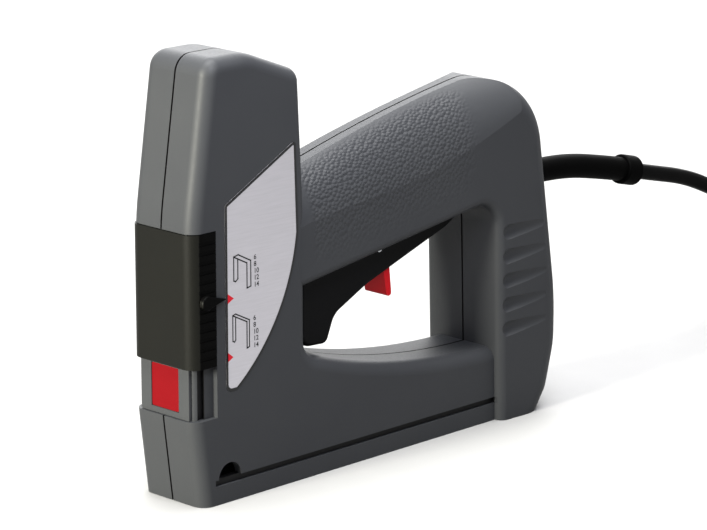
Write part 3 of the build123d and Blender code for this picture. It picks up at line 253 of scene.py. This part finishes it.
def makePlastic(name, settings):
    s = {**plasticBase, **settings}
    mat, place = startMaterial(name)
    cloud = addNode(mat, "ShaderNodeTexNoise", {
        "Vector": place, "Scale": perMetre(s["cloud"]), "Detail": s["cloudDetail"]})
    color = addNode(mat, "ShaderNodeMix", {
        0: cloud.outputs["Fac"], 6: hexColor(s["deep"]), 7: hexColor(s["pale"])}, data_type="RGBA")
    specular = s["specular"]
    # painted shade: behind the given point the colour goes near black and the specular level drops
    if s["paintedShadeBehind"]:
        axes = addNode(mat, "ShaderNodeSeparateXYZ", {"Vector": place})
        start = noseX + s["paintedShadeBehind"]
        behind = addMask(mat, [(axes.outputs["X"], start, start + s["paintedShadeEdge"])])
        color = addNode(mat, "ShaderNodeMix", {
            0: behind, 6: color.outputs[2], 7: hexColor(s["paintedShadeColor"])}, data_type="RGBA")
        specular = addNode(mat, "ShaderNodeMapRange", {
            "Value": behind, "To Min": s["specular"], "To Max": s["paintedShadeSpecular"]}).outputs[0]
    grain = addNode(mat, "ShaderNodeTexNoise", {
        "Vector": place, "Scale": perMetre(s["grain"]), "Detail": s["grainDetail"]})
    rough = addNode(mat, "ShaderNodeMapRange", {
        "Value": grain.outputs["Fac"],
        "To Min": s["roughness"] - s["swing"], "To Max": s["roughness"] + s["swing"]})
    bump = addNode(mat, "ShaderNodeBump", {
        "Strength": s["strength"], "Distance": s["lift"] / 1000, "Height": grain.outputs["Fac"]})
    return endMaterial(mat, {
        "Base Color": color.outputs[2], "Roughness": rough.outputs[0], "Specular IOR Level": specular,
        "Normal": bump.outputs[0]})


# metals: fine lines, drawn out along the axes whose stretch is small, as rolling and drawing leave them
metalBase = {
    "line": 0.6,
    "lineDetail": 3.0,
    "stretch": (1, 1, 1),
    "lift": 0.03,
    "strength": 0.2,
    "swing": 0.08,
}
metals = {
    # silver foil: pale, with a faint brushed drift
    "labelFoil": {
        "deep": "#aaa8ae", "pale": "#bcbac0", "roughness": 0.45, "line": 0.5, "stretch": (0.04, 1, 1)},
    # rolled steel strip: long faint lines
    "rolledSteel": {"deep": "#83858a", "pale": "#a2a4a8", "roughness": 0.34, "stretch": (0.05, 1, 1)},
    # phosphated steel: dark grey and crystalline
    "phosphatedSteel": {"deep": "#3a3b3d", "pale": "#4c4d50", "roughness": 0.46},
    # drawn spring wire: bright
    "springWire": {"deep": "#8b8d92", "pale": "#a9abaf", "roughness": 0.28},
    # nickel plate: warm and shiny
    "nickelPin": {"deep": "#b2b0a8", "pale": "#c6c4bc", "roughness": 0.2},
    # enamelled copper wire: brown, lined by its turns
    "copperWire": {
        "deep": "#8a4a2a", "pale": "#a85e36", "roughness": 0.36, "line": 0.5, "stretch": (0.05, 0.05, 1)},
}


def makeMetal(name, settings):
    s = {**metalBase, **settings}
    mat, place = startMaterial(name)
    drawn = addNode(mat, "ShaderNodeMapping", {"Vector": place, "Scale": s["stretch"]})
    lines = addNode(mat, "ShaderNodeTexNoise", {
        "Vector": drawn.outputs[0], "Scale": perMetre(s["line"]), "Detail": s["lineDetail"]})
    color = addNode(mat, "ShaderNodeMix", {
        0: lines.outputs["Fac"], 6: hexColor(s["deep"]), 7: hexColor(s["pale"])}, data_type="RGBA")
    rough = addNode(mat, "ShaderNodeMapRange", {
        "Value": lines.outputs["Fac"],
        "To Min": s["roughness"] - s["swing"], "To Max": s["roughness"] + s["swing"]})
    bump = addNode(mat, "ShaderNodeBump", {
        "Strength": s["strength"], "Distance": s["lift"] / 1000, "Height": lines.outputs["Fac"]})
    return endMaterial(mat, {
        "Base Color": color.outputs[2], "Metallic": 1.0, "Roughness": rough.outputs[0],
        "Normal": bump.outputs[0]})


finishes = {"shellAbs": makeShellAbs(shellAbs)}
for name, settings in plastics.items():
    finishes[name] = makePlastic(name, settings)
for name, settings in metals.items():
    finishes[name] = makeMetal(name, settings)

wearers = {
    "shellAbs": ["left_shell", "right_shell"],
    "panelAbs": ["front_panel"],
    "selectorNylon": ["selector_slider", "selector_pointer"],
    "windowRed": ["indicator_plate"],
    "catchRed": ["safety_catch"],
    "triggerNylon": ["trigger", "microswitch", "drawer_cap", "magazine_latch", "cord_clamp", "cord_tie",
                     "board_components"],
    "labelFoil": ["side_label"],
    "sleeveRubber": ["strain_relief", "plug_body", "top_bumper", "lower_bumper"],
    "rolledSteel": ["front_guide", "magazine_channel", "magazine_drawer", "staple_stick", "driver_blade"],
    "phosphatedSteel": ["shell_screws", "clamp_screws", "solenoid_yoke", "blade_carrier", "guide_block",
                        "pusher"],
    "springWire": ["trigger_spring", "safety_spring", "return_spring", "latch_spring", "pusher_spring",
                   "trigger_pin", "safety_pin", "plunger", "carrier_pin", "blade_rivets", "pusher_rod"],
    "nickelPin": ["plug_pins"],
    "copperWire": ["coil_winding"],
    "bobbinNylon": ["coil_bobbin", "switch_button"],
    "boardLacquer": ["circuit_board"],
}
for finish, names in wearers.items():
    for name in names:
        nodes[name].data.materials.clear()
        nodes[name].data.materials.append(finishes[finish])
print("finishes on the nodes")


def linkPiece(name, data, finish, body):
    piece = bpy.data.objects.new(name, data)
    bpy.context.scene.collection.objects.link(piece)
    data.materials.clear()
    data.materials.append(finishes[finish])
    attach(piece, body)
    return piece


def meshFrom(mesh, name):
    data = bpy.data.meshes.new(name)
    mesh.to_mesh(data)
    mesh.free()
    return data


# a copy of a node's mesh, joined along the borders of its faces
def mergedCopy(node, within=0.001):
    mesh = bmesh.new()
    mesh.from_mesh(nodes[node].data)
    bmesh.ops.remove_doubles(mesh, verts=mesh.verts, dist=within / 1000)
    return mesh


# coil springs: each node's mesh is joined into a piece of its own on its body, and the node is hidden
springs = {
    "trigger_spring": {
        "piece": "triggerSpring", "body": "housing", "joint": "trigger_hinge",
        "axis": (0, 0, 1), "fixedEnd": (-22.5, 0, 98.0), "keep": 0.5,
    },
    "return_spring": {
        "piece": "returnSpring", "body": "housing", "joint": "striker_slide",
        "axis": (0, 0, 1), "fixedEnd": (-68.5, 0, 126.0), "keep": 0.215,
    },
    "pusher_spring": {
        "piece": "pusherSpring", "body": "drawer", "joint": "pusher_slide",
        "axis": (1, 0, 0), "fixedEnd": (78.6, 0, 7.0), "keep": 0.413,
    },
    "latch_spring": {
        "piece": "latchSpring", "body": "drawer", "joint": "latch_slide",
        "axis": (0, 0, 1), "fixedEnd": (88.7, 0, 4.9), "keep": 0.26,
    },
}


def makeSpring(node, s):
    data = meshFrom(mergedCopy(node), s["piece"])
    piece = linkPiece(s["piece"], data, "springWire", s["body"])
    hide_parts(node)
    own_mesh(piece)


for node, settings in springs.items():
    makeSpring(node, settings)
print("springs seated")

# mains lead: the stretch to the hank, the long turns of the hank, and the end turned in to the plug
lead = {
    "diameter": 6.5,
    "length": 2424.5,
    "route": [(75.1, 0, 91.0), (97.1, 0, 91.0), (122.0, 0, 90.0), (147.0, 0, 85.0), (174.0, 0, 78.4),
              (197.0, 0, 73.0), (217.0, 0, 64.5), (233.0, 1.0, 57.0), (246.0, 11.0, 51.0),
              (260.0, 21.5, 46.2)],
    "turnedIn": [(284.0, 21.8, 3.35), (297.0, 14.0, 3.45), (308.0, 3.0, 5.6), (319.0, 0, 8.8),
                 (331.0, 0, 9.0)],
    "turns": 6,
    "pitch": 7.0,
    "run": 110.0,
    "fold": 22.0,  # radius of the folds
    "startX": 275.0,
    "low": 3.35,
    "runPoints": 4,
    "foldPoints": 6,
    "smoothing": 6,
    "roundness": 5,
}


# one turn of the hank: out along one side, round, back along the other and round again
def hankTurn(s, turn):
    fold = math.pi * s["fold"]
    turnLength = 2 * (s["run"] + fold)
    step = math.pi / s["foldPoints"]
    reach = s["fold"] / math.cos(step / 2)
    inset = s["fold"] * math.tan(step / 2)
    points = []
    for half, side in enumerate((1, -1)):
        startX = s["startX"] if side > 0 else s["startX"] + s["run"]
        gone = turn * turnLength + half * turnLength / 2
        for i in range(s["runPoints"]):
            along = inset + (s["run"] - 2 * inset) * i / (s["runPoints"] - 1)
            points.append((startX + side * along, side * s["fold"], gone + along))
        for i in range(s["foldPoints"]):
            angle = math.pi / 2 - (i + 0.5) * step
            x = startX + side * (s["run"] + reach * math.cos(angle))
            y = side * reach * math.sin(angle)
            points.append((x, y, gone + s["run"] + fold * (i + 0.5) / s["foldPoints"]))
    high = s["low"] + s["turns"] * s["pitch"]
    return [(x, y, high - s["pitch"] * gone / turnLength) for x, y, gone in points]


def makeLead(s):
    points = list(s["route"])
    for turn in range(s["turns"]):
        points += hankTurn(s, turn)
    points += s["turnedIn"]
    curve = bpy.data.curves.new("leadCurve", "CURVE")
    curve.dimensions = "3D"
    spline = curve.splines.new("NURBS")
    spline.points.add(len(points) - 1)
    for point, spot in zip(spline.points, points):
        point.co = (*metres(*spot), 1)
    spline.order_u = 3
    spline.use_endpoint_u = True
    spline.resolution_u = s["smoothing"]
    curve.bevel_depth = s["diameter"] / 2000
    curve.bevel_resolution = s["roundness"]
    curve.use_fill_caps = True
    piece = linkPiece("mainsLead", curve, "cordVinyl", "housing")
    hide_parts("cord_lead", "cord_hank")


makeLead(lead)
print("mains lead laid")

# print on the label, in mm behind the front and above the base: staple signs, plain sizes and red pointers
labelPrint = {
    "proud": 0.03,  # the ink stands off the foil by this much
    "rim": 1.05,
    "facing": -0.9,  # the plate's outer face is where a normal's y is below this
    "stroke": 0.5,
    "staples": [
        [(20.5, 82.4), (20.5, 91.2), (27.0, 87.9), (27.0, 78.6), (28.9, 79.0), (28.9, 88.5), (22.7, 91.7),
         (20.5, 91.2)],
        [(20.5, 82.4), (21.4, 82.0), (22.5, 82.9), (22.5, 90.2)],
        [(19.8, 60.1), (19.8, 69.6), (26.8, 66.1), (26.8, 56.2), (28.0, 56.6), (28.0, 66.6), (21.2, 70.0),
         (19.8, 69.6)],
        [(19.8, 60.1), (20.6, 59.7), (21.2, 60.4), (21.2, 68.9)],
    ],
    "sizes": ["6", "8", "10", "12", "14"],
    "sizeHeight": 2.55,
    "sizeBold": 0.045,
    "sizeRows": [(30.4, 88.6), (30.0, 66.0)],
    "rowPitch": 2.55,
    "pointers": [[(17.3, 78.2), (20.4, 76.0), (17.3, 74.4)], [(16.9, 56.6), (20.0, 54.2), (16.9, 52.6)]],
}
facingLeft = Matrix.Rotation(math.pi / 2, 4, "X")  # stands a flat drawing up on the left side


def onLabel(s, x, z):
    return metres(noseX + x, labelY - s["proud"], z)


def addInk(name, mesh, finish):
    linkPiece(name, meshFrom(mesh, name), finish, "housing")


# dark line along the edge of the label, taken from the plate's own outline
def makeRim(s):
    mesh = mergedCopy("side_label")
    away = [f for f in mesh.faces if f.normal.y > s["facing"]]
    bmesh.ops.delete(mesh, geom=away, context="FACES")
    bmesh.ops.dissolve_faces(mesh, faces=mesh.faces[:])
    plate = mesh.faces[:]
    bmesh.ops.inset_region(
        mesh, faces=plate, thickness=s["rim"] / 1000, use_even_offset=True, use_boundary=True)
    bmesh.ops.delete(mesh, geom=plate, context="FACES")
    for vert in mesh.verts:
        vert.co.y = (labelY - s["proud"]) / 1000
    addInk("labelRim", mesh, "printBlack")


def makeStaples(s):
    mesh = bmesh.new()
    stroke = s["stroke"] / 1000
    for line in s["staples"]:
        for start, end in zip(line, line[1:]):
            start, end = onLabel(s, *start), onLabel(s, *end)
            run = end - start
            turn = Matrix.Rotation(-math.atan2(run.z, run.x), 4, "Y") @ facingLeft
            size = Matrix.Diagonal((run.length + stroke, stroke, 1, 1))
            bmesh.ops.create_grid(
                mesh, x_segments=1, y_segments=1, size=0.5,
                matrix=Matrix.Translation(start + run / 2) @ turn @ size)
    addInk("labelStaples", mesh, "printBlack")


def makeSizes(s):
    mesh = bmesh.new()
    for x, top in s["sizeRows"]:
        for row, size in enumerate(s["sizes"]):
            text = bpy.data.curves.new("size", "FONT")
            text.body = size
            text.size = s["sizeHeight"] / 1000
            text.offset = s["sizeBold"] / 1000
            holder = bpy.data.objects.new("size", text)
            drawn = bpy.data.meshes.new_from_object(holder)
            drawn.transform(Matrix.Translation(onLabel(s, x, top - row * s["rowPitch"])) @ facingLeft)
            mesh.from_mesh(drawn)
            bpy.data.objects.remove(holder)
            bpy.data.meshes.remove(drawn)
            bpy.data.curves.remove(text)
    addInk("labelSizes", mesh, "printBlack")


def makePointers(s):
    mesh = bmesh.new()
    for corners in s["pointers"]:
        verts = [mesh.verts.new(onLabel(s, x, z)) for x, z in corners]
        bmesh.ops.contextual_create(mesh, geom=verts)
    bmesh.ops.recalc_face_normals(mesh, faces=mesh.faces[:])
    for face in mesh.faces:
        if face.normal.y > 0:
            face.normal_flip()
    addInk("labelPointers", mesh, "printRed")


makeRim(labelPrint)
makeStaples(labelPrint)
makeSizes(labelPrint)
makePointers(labelPrint)
print("label printed")

# camera where the photograph was taken from; places in metres, lens and sensor in mm
photo = {
    "lens": 175.93,
    "sensor": 36.0,
    "place": (-0.89765, -0.88577, 0.39730),
    "look": (0.68935, 0.67979, -0.25038),
    "clip": (0.05, 20),
}


def aimAlong(direction):
    return Vector(direction).to_track_quat("-Z", "Y").to_euler()


def makeCamera(s):
    camera = bpy.data.objects.new("photoCamera", bpy.data.cameras.new("photoCamera"))
    bpy.context.scene.collection.objects.link(camera)
    camera.data.lens = s["lens"]
    camera.data.sensor_width = s["sensor"]
    camera.data.sensor_fit = "HORIZONTAL"
    camera.data.clip_start, camera.data.clip_end = s["clip"]
    camera.location = s["place"]
    camera.rotation_euler = aimAlong(s["look"])
    bpy.context.scene.camera = camera


# studio lights: places and sizes in metres, power in watts
softboxes = {
    "frontBox": {
        "place": (-1.6, 0.0, 0.5), "target": (0, 0, 0.08), "size": (0.35, 0.5), "power": 150,
        "tint": "#fffdec"},
    "topBox": {
        "place": (0.0, 0.05, 4.0), "target": (0, 0, 0.08), "size": (3.1, 2.6), "power": 840,
        "tint": "#ffffff"},
    "backBox": {
        "place": (0.9, 1.0, 0.8), "target": (0, 0, 0.08), "size": (1.6, 0.9), "power": 32,
        "tint": "#ffffff"},
    "sideBox": {
        "place": (-0.12, -0.24, 0.36), "target": (-0.06, 0, 0.14), "size": (0.15, 0.15), "power": 2.1,
        "tint": "#f6f8ff"},
}


def makeSoftbox(name, s):
    light = bpy.data.lights.new(name, "AREA")
    light.shape = "RECTANGLE"
    light.size, light.size_y = s["size"]
    light.energy = s["power"]
    light.color = hexColor(s["tint"])[:3]
    lamp = bpy.data.objects.new(name, light)
    bpy.context.scene.collection.objects.link(lamp)
    lamp.location = s["place"]
    lamp.rotation_euler = aimAlong(Vector(s["target"]) - Vector(s["place"]))


# room: even light from all round, and a floor of matt paper that the lights turn white
room = {
    "tint": "#ffffff",
    "glow": 0.6,
    "floorHalf": 6,  # metres
    "paper": {"deep": "#6a6a6a", "pale": "#6e6e6e", "roughness": 0.8},
}


def makeRoom(s):
    world = bpy.data.worlds.new("studioRoom")
    world.use_nodes = True
    background = world.node_tree.nodes["Background"]
    background.inputs["Color"].default_value = hexColor(s["tint"])
    background.inputs["Strength"].default_value = s["glow"]
    bpy.context.scene.world = world
    mesh = bmesh.new()
    bmesh.ops.create_grid(mesh, x_segments=1, y_segments=1, size=s["floorHalf"])
    floor = bpy.data.objects.new("paleFloor", meshFrom(mesh, "paleFloor"))
    bpy.context.scene.collection.objects.link(floor)
    floor.data.materials.append(makePlastic("floorPaper", s["paper"]))


makeCamera(photo)
for name, settings in softboxes.items():
    makeSoftbox(name, settings)
makeRoom(room)
bpy.context.scene.view_settings.view_transform = "Standard"
print("camera and light set")
